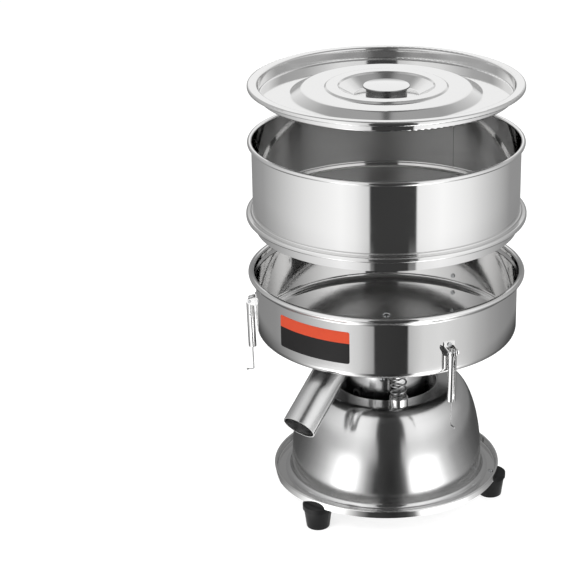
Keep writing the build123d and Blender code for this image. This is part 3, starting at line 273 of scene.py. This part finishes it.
def knob_steel(name):
    """A polished top on a coarsely turned, rougher neck whose sides are painted dark by their
    normal as painted shade.
    """
    graph = Graph(name)
    up = graph.node("SeparateXYZ", {"Vector": turned_normal(graph)[0]}).outputs["Z"]
    top = graph.spread(up, 0.0, 1.0, 0.55, 0.8)
    height = graph.node("SeparateXYZ", {"Vector": graph.place()}).outputs["Z"]
    lines = graph.noise(graph.node("CombineXYZ", {"Z": height}).outputs[0], 2200.0, 4.0)
    # painted shade: the neck's sides are painted dark, with turning lines in the dark
    painted_neck_shade = graph.mix(lines, gray(0.16), gray(0.30))
    graph.set(Base_Color=graph.mix(top, painted_neck_shade, gray(POLISHED_TONE)), Metallic=1.0,
              Roughness=graph.spread(top, 0.24, 0.06),
              Normal=graph.bump(lines, LINE_DEPTH, 1.0))
    return graph.material


def satin_steel(name, tone=0.70, rough=(0.22, 0.29), anisotropic=0.7, axis=None):
    """Sheet brushed round the object's axis or a given one, so that light smears along it."""
    graph = Graph(name)
    if axis is None:
        round_way = round_axis(graph)
        tangent = graph.node("Tangent", direction_type="RADIAL", axis="Z").outputs[0]
    else:
        along = graph.node("VectorMath", {0: graph.place(), 1: axis}, operation="DOT_PRODUCT")
        height = along.outputs["Value"]
        round_way = graph.node("CombineXYZ", {"Z": height}).outputs[0]
        normal = graph.node("NewGeometry").outputs["Normal"]
        crossed = graph.node("VectorMath", {0: normal, 1: axis}, operation="CROSS_PRODUCT")
        tangent = crossed.outputs[0]
    lines = graph.noise(graph.scaled(round_way, 3.0, 2600.0, 2600.0), 1.0, 4.0, 0.6)
    bands = graph.noise(graph.scaled(round_way, 0.6, 210.0, 210.0), 1.0, 3.0)
    haze = graph.noise(graph.place(), 18.0, 4.0)
    roughness = graph.math("ADD", graph.spread(haze, rough[0], rough[1], 0.35, 0.7),
                           graph.spread(lines, -0.015, 0.025, 0.3, 0.7))
    colour = graph.mix(bands, gray(tone * 0.96), gray(tone))
    graph.set(Base_Color=colour, Metallic=1.0, Roughness=roughness,
              Anisotropic=anisotropic, Anisotropic_Rotation=0.25, Tangent=tangent,
              Normal=graph.bump(lines, 0.0000025, 1.0))
    return graph.material


def woven_steel(name, pitch=0.0009):
    """Woven wire cloth: two sets of wires that pass over and under each other."""
    graph = Graph(name)
    parts = graph.node("SeparateXYZ", {"Vector": graph.place()}).outputs
    turns = 2 * math.pi / pitch
    across = graph.math("SINE", graph.math("MULTIPLY", parts["X"], turns))
    along = graph.math("SINE", graph.math("MULTIPLY", parts["Y"], turns))
    wires = graph.math("MAXIMUM", graph.math("ABSOLUTE", across), graph.math("ABSOLUTE", along))
    openings_painted_shade = graph.spread(wires, 0.0, 1.0, 0.45, 0.75)
    haze = graph.noise(graph.place(), 40.0, 3.0)
    steel = graph.mix(haze, gray(0.50), gray(0.62))
    # painted shade: the openings between wires are near-black, standing in for the dark seen
    # through them
    colour = graph.mix(openings_painted_shade, gray(0.015), steel)
    graph.set(Base_Color=colour, Metallic=1.0, Roughness=0.38,
              Normal=graph.bump(wires, 0.00012, 0.8))
    return graph.material


def plated_steel(name, tone=(0.60, 0.61, 0.62), rough=(0.18, 0.32)):
    """Bright zinc plate, with small clouds in its colour and shine."""
    graph = Graph(name)
    clouds = graph.noise(graph.place(), 220.0, 4.0)
    scratch = graph.noise(graph.scaled(graph.place(), 300.0, 2600.0, 300.0), 1.0, 3.0)
    colour = graph.mix(clouds, (*[t * 0.86 for t in tone], 1), (*tone, 1))
    graph.set(Base_Color=colour, Metallic=1.0,
              Roughness=graph.spread(clouds, rough[0], rough[1], 0.3, 0.7),
              Normal=graph.bump(scratch, 0.000006, 1.0))
    return graph.material


def moulded(name, colour, rough=(0.42, 0.58), grain=900.0, depth=0.00002, shine=0.5):
    """Moulded rubber or plastic with a fine grain and worn, shinier spots."""
    graph = Graph(name)
    fine = graph.noise(graph.place(), grain, 4.0, 0.6)
    broad = graph.noise(graph.place(), 60.0, 3.0)
    darker = tuple(c * 0.82 for c in colour)
    graph.set(Base_Color=graph.mix(broad, (*darker, 1), (*colour, 1)), Specular_IOR_Level=shine,
              Roughness=graph.spread(broad, rough[0], rough[1], 0.3, 0.7),
              Normal=graph.bump(fine, depth, 1.0))
    return graph.material


def wound_copper(name):
    """Enamelled copper wire, wound round the stator's teeth."""
    graph = Graph(name)
    parts = graph.node("SeparateXYZ", {"Vector": graph.place()}).outputs
    strands = graph.math("ABSOLUTE", graph.math("SINE", graph.math("MULTIPLY", parts["Z"], 5200.0)))
    # painted shade: each turn is painted darker towards its edges, in the creases where the turns
    # meet
    colour = graph.mix(strands, (0.16, 0.045, 0.015, 1), (0.62, 0.24, 0.09, 1))
    graph.set(Base_Color=colour, Metallic=0.8, Roughness=0.32,
              Normal=graph.bump(strands, 0.0002, 1.0))
    return graph.material


def stacked_steel(name):
    """Stamped laminations, stacked along the height."""
    graph = Graph(name)
    parts = graph.node("SeparateXYZ", {"Vector": graph.place()}).outputs
    leaves = graph.math("ABSOLUTE", graph.math("SINE", graph.math("MULTIPLY", parts["Z"], 6283.0)))
    colour = graph.mix(leaves, gray(0.09), gray(0.34))
    graph.set(Base_Color=colour, Metallic=0.9, Roughness=0.42,
              Normal=graph.bump(leaves, 0.0001, 0.8))
    return graph.material


def printed_label(name, split):
    """Printed vinyl: an orange-red band above a black field."""
    graph = Graph(name)
    parts = graph.node("SeparateXYZ", {"Vector": graph.place()}).outputs
    upper = graph.math("GREATER_THAN", parts["Z"], split)
    clouds = graph.noise(graph.place(), 90.0, 3.0)
    orange = graph.mix(clouds, (0.68, 0.068, 0.024, 1), (0.74, 0.085, 0.030, 1))
    black = graph.mix(clouds, (0.006, 0.0055, 0.006, 1), (0.010, 0.009, 0.009, 1))
    graph.set(Base_Color=graph.mix(upper, black, orange), Specular_IOR_Level=0.3,
              Roughness=graph.spread(clouds, 0.42, 0.52, 0.3, 0.7))
    return graph.material


def finishes():
    """The material of each slot in the record."""
    return {
        "polished_stainless": polished_steel("polished_stainless"),
        "satin_stainless": satin_steel("satin_stainless", 0.70, (0.15, 0.20), 0.75),
        "mesh_stainless": woven_steel("mesh_stainless"),
        "zinc_steel": plated_steel("zinc_steel"),
        "spring_steel": plated_steel("spring_steel", (0.52, 0.52, 0.52), (0.16, 0.28)),
        "black_rubber": moulded("black_rubber", (0.0045, 0.0045, 0.005), (0.36, 0.5), shine=0.22),
        "white_silicone": moulded("white_silicone", (0.72, 0.72, 0.70), (0.35, 0.5)),
        "black_plastic": moulded("black_plastic", (0.018, 0.018, 0.019), (0.3, 0.42)),
        "rocker_plastic": moulded("rocker_plastic", (0.012, 0.012, 0.013), (0.22, 0.32)),
        "grey_plastic": moulded("grey_plastic", (0.21, 0.215, 0.22), (0.38, 0.5)),
        "cable_black": moulded("cable_black", (0.016, 0.016, 0.017), (0.35, 0.5)),
        "copper_wire": wound_copper("copper_wire"),
        "lamination_steel": stacked_steel("lamination_steel"),
        "weight_iron": plated_steel("weight_iron", (0.30, 0.30, 0.31), (0.38, 0.52)),
        "bearing_steel": plated_steel("bearing_steel", (0.66, 0.66, 0.67), (0.10, 0.20)),
    }


def dress_nodes(made):
    """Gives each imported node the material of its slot, or the finish that it alone has."""
    slot_of = {part["node"]: part["material_slot"] for part in frame["record"]["subparts"]}
    for name, piece in nodes.items():
        piece.data.materials.clear()
        piece.data.materials.append(made[slot_of[name]])
        for face in piece.data.polygons:
            face.material_index = 0
    slope = math.radians(SPOUT_DROP)
    turn = math.radians(SPOUT_BEARING)
    way = (math.sin(turn) * math.cos(slope), -math.cos(turn) * math.cos(slope), -math.sin(slope))
    fittings = polished_steel("polished_fittings", 0.92, (0.14, 0.22), turned=False)
    own = {"lid_shell": polished_steel("polished_lid", rim=0.05),
           "lid_knob": knob_steel("knob_steel"),
           "drum_shell": polished_steel("polished_drum", seam=True),
           # the pan's faces that point down are painted dark as painted shade
           "pan_shell": polished_steel("polished_pan", paint_shade_below=True),
           "spout_tube": satin_steel("spout_satin", 0.70, (0.20, 0.26), 0.7, way),
           "latch_plates": fittings,
           "spring_cups": fittings}
    own.update((name, fittings) for name in nodes if name.startswith("latch_lever"))
    for name, material in own.items():
        nodes[name].data.materials[0] = material


def on_wall(bearing, radius, z):
    """A point at a bearing from the front, positive towards +X."""
    turn = math.radians(bearing)
    return Vector((radius * math.sin(turn), -radius * math.cos(turn), z))


def new_piece(name, build, material, body):
    """A mesh object made by build(bm), which rides on a body."""
    mesh = bpy.data.meshes.new(name)
    bm = bmesh.new()
    build(bm)
    bmesh.ops.recalc_face_normals(bm, faces=bm.faces)
    bm.to_mesh(mesh)
    bm.free()
    piece = bpy.data.objects.new(name, mesh)
    bpy.context.scene.collection.objects.link(piece)
    mesh.materials.append(material)
    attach(piece, body)


def make_label(pan_radius, pan_top):
    """A thin sticker that follows the pan's wall, with round corners."""
    middle = sum(LABEL_BEARINGS) / 2
    width = math.radians(LABEL_BEARINGS[1] - LABEL_BEARINGS[0]) * pan_radius
    high = pan_top - LABEL_BELOW_RIM
    centre_z = high - LABEL_HEIGHT / 2

    def build(bm):
        rows = []
        half = width / 2
        for step in range(LABEL_STEPS + 1):
            along = half * math.sin(math.pi * (step / LABEL_STEPS - 0.5))
            past = max(0.0, abs(along) - (half - LABEL_CORNER))
            drop = LABEL_CORNER - math.sqrt(max(0.0, LABEL_CORNER ** 2 - past ** 2))
            reach = LABEL_HEIGHT / 2 - drop
            bearing = middle + math.degrees(along / pan_radius)
            rows.append([
                bm.verts.new(on_wall(bearing, pan_radius + depth, centre_z + side * reach))
                for side in (-1, 1) for depth in (LABEL_THICKNESS, LABEL_THICKNESS / 5)])
        for left, right in zip(rows, rows[1:]):
            for a, b in ((0, 2), (2, 3), (3, 1), (1, 0)):
                bm.faces.new((left[a], left[b], right[b], right[a]))
        bm.faces.new([rows[0][i] for i in (0, 1, 3, 2)])
        bm.faces.new([rows[-1][i] for i in (0, 2, 3, 1)])

    split = high - LABEL_HEIGHT * LABEL_TOP_SHARE
    new_piece("pan_label", build, printed_label("printed_label", split),
                     "pan")


def tent_material():
    """Light as bright as a soft-box tent is in each direction."""
    graph = Graph("light_tent")
    parts = graph.node("SeparateXYZ", {"Vector": graph.place()}).outputs
    bearing = graph.math("ARCTAN2", parts["X"], graph.math("MULTIPLY", parts["Y"], -1.0))
    turn = graph.spread(bearing, 0.0, 1.0, -math.pi, math.pi)

    def level(lights):
        """One of the rows of lights above, as a gray that changes with the bearing."""
        stops = [((degrees + 180.0) / 360.0, light) for degrees, light in lights]
        return graph.ramp(turn, stops)

    def above(low, high):
        return graph.spread(parts["Z"], 0.0, 1.0, low, high)

    light = graph.mix(above(0.004, 0.03), level(TENT_GROUND), level(TENT_LOW))
    light = graph.mix(above(0.10, 0.22), light, level(TENT_SIDE))
    light = graph.mix(above(0.50, 0.60), light, level(TENT_HIGH))
    light = graph.mix(above(0.96, 1.06), light, level(TENT_CROWN))
    emission = graph.node("Emission", {"Color": light, "Strength": 1.0})
    graph.tree.links.new(emission.outputs[0], graph.output.inputs["Surface"])
    return graph.material


def make_tent():
    """A domed tent round the object that only reflections show."""
    mesh = bpy.data.meshes.new("light_tent")
    bm = bmesh.new()
    rows = []
    wall_top = TENT_TOP - TENT_RADIUS * 0.5
    profile = [TENT_FLOOR, (TENT_RADIUS, TENT_FLOOR[1])]
    profile += [(TENT_RADIUS, wall_top * i / TENT_RINGS) for i in range(1, TENT_RINGS + 1)]
    for step in range(1, TENT_RINGS):
        angle = math.pi / 2 * step / TENT_RINGS
        profile.append((TENT_RADIUS * math.cos(angle),
                        wall_top + TENT_RADIUS * 0.5 * math.sin(angle)))
    for radius, z in profile:
        rows.append([bm.verts.new(on_wall(360.0 * k / TENT_SEGMENTS, radius, z))
                     for k in range(TENT_SEGMENTS)])
    for lower, upper in zip(rows, rows[1:]):
        for k in range(TENT_SEGMENTS):
            n = (k + 1) % TENT_SEGMENTS
            bm.faces.new((lower[k], lower[n], upper[n], upper[k]))
    crown = bm.verts.new((0.0, 0.0, TENT_TOP))
    for k in range(TENT_SEGMENTS):
        bm.faces.new((rows[-1][k], rows[-1][(k + 1) % TENT_SEGMENTS], crown))
    bm.to_mesh(mesh)
    bm.free()
    tent = bpy.data.objects.new("light_tent", mesh)
    bpy.context.scene.collection.objects.link(tent)
    mesh.materials.append(tent_material())
    for ray in ("visible_camera", "visible_diffuse", "visible_shadow",
                "visible_transmission", "visible_volume_scatter"):
        setattr(tent, ray, False)


def make_floor():
    """A pale floor that the camera and the steel see as white, with the object's shadow."""
    mesh = bpy.data.meshes.new("floor")
    bm = bmesh.new()
    corners = [bm.verts.new((x * FLOOR_HALF, y * FLOOR_HALF, 0.0))
               for x, y in ((-1, -1), (1, -1), (1, 1), (-1, 1))]
    bm.faces.new(corners)
    bm.to_mesh(mesh)
    bm.free()
    floor = bpy.data.objects.new("floor", mesh)
    bpy.context.scene.collection.objects.link(floor)
    graph = Graph("floor_paper")
    rays = graph.node("LightPath").outputs
    seen = graph.math("MAXIMUM", rays["Is Camera Ray"],
                      graph.math("MAXIMUM", rays["Is Glossy Ray"],
                                 rays["Is Transmission Ray"]))
    glow = graph.math("MULTIPLY", seen, FLOOR_GLOW)
    graph.set(Base_Color=gray(FLOOR_COLOUR), Roughness=0.9, Emission_Color=gray(1.0),
              Emission_Strength=glow)
    graph.shader.inputs["Specular IOR Level"].default_value = 0.0
    mesh.materials.append(graph.material)


def area_lamp(name, place, power):
    """A soft lamp for the plain surfaces; the steel mirrors the tent instead."""
    data = bpy.data.lights.new(name, "AREA")
    data.shape = "DISK"
    data.size = LAMP_SIZE
    data.energy = power
    lamp = bpy.data.objects.new(name, data)
    bpy.context.scene.collection.objects.link(lamp)
    lamp.location = place
    lamp.rotation_mode = "QUATERNION"
    lamp.rotation_quaternion = (Vector(LAMP_AIM) - Vector(place)).to_track_quat("-Z", "Y")
    lamp.visible_glossy = False


def make_world():
    """A white surround, whose own light on the object is plain."""
    world = bpy.data.worlds.new("studio")
    bpy.context.scene.world = world
    world.use_nodes = True
    tree = world.node_tree
    background = tree.nodes["Background"]
    rays = tree.nodes.new("ShaderNodeLightPath")
    seen = tree.nodes.new("ShaderNodeMath")
    seen.operation = "MAXIMUM"
    tree.links.new(rays.outputs["Is Camera Ray"], seen.inputs[0])
    tree.links.new(rays.outputs["Is Glossy Ray"], seen.inputs[1])
    also = tree.nodes.new("ShaderNodeMath")
    also.operation = "MAXIMUM"
    tree.links.new(seen.outputs[0], also.inputs[0])
    tree.links.new(rays.outputs["Is Transmission Ray"], also.inputs[1])
    strength = tree.nodes.new("ShaderNodeMapRange")
    strength.inputs["To Min"].default_value = SURROUND_PLAIN
    strength.inputs["To Max"].default_value = 1.0
    tree.links.new(also.outputs[0], strength.inputs["Value"])
    tree.links.new(strength.outputs[0], background.inputs["Strength"])
    background.inputs["Color"].default_value = gray(1.0)


def make_camera():
    data = bpy.data.cameras.new("camera")
    data.sensor_fit = "HORIZONTAL"
    data.sensor_width = CAMERA_SENSOR
    data.lens = CAMERA_LENS
    data.shift_x = CAMERA_SHIFT
    data.clip_end = 50.0
    camera = bpy.data.objects.new("camera", data)
    bpy.context.scene.collection.objects.link(camera)
    camera.location = CAMERA_PLACE
    camera.rotation_mode = "QUATERNION"
    look = Vector(CAMERA_AIM) - Vector(CAMERA_PLACE)
    camera.rotation_quaternion = look.to_track_quat("-Z", "Y")
    bpy.context.scene.camera = camera


def main():
    made = finishes()
    dress_nodes(made)
    pan_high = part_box("pan_shell")[1]
    make_label(PAN_RADIUS, pan_high.z)
    make_floor()
    make_tent()
    for name, place, power in LAMPS:
        area_lamp(name, place, power)
    make_world()
    make_camera()
    bpy.context.scene.view_settings.view_transform = "Standard"


main()
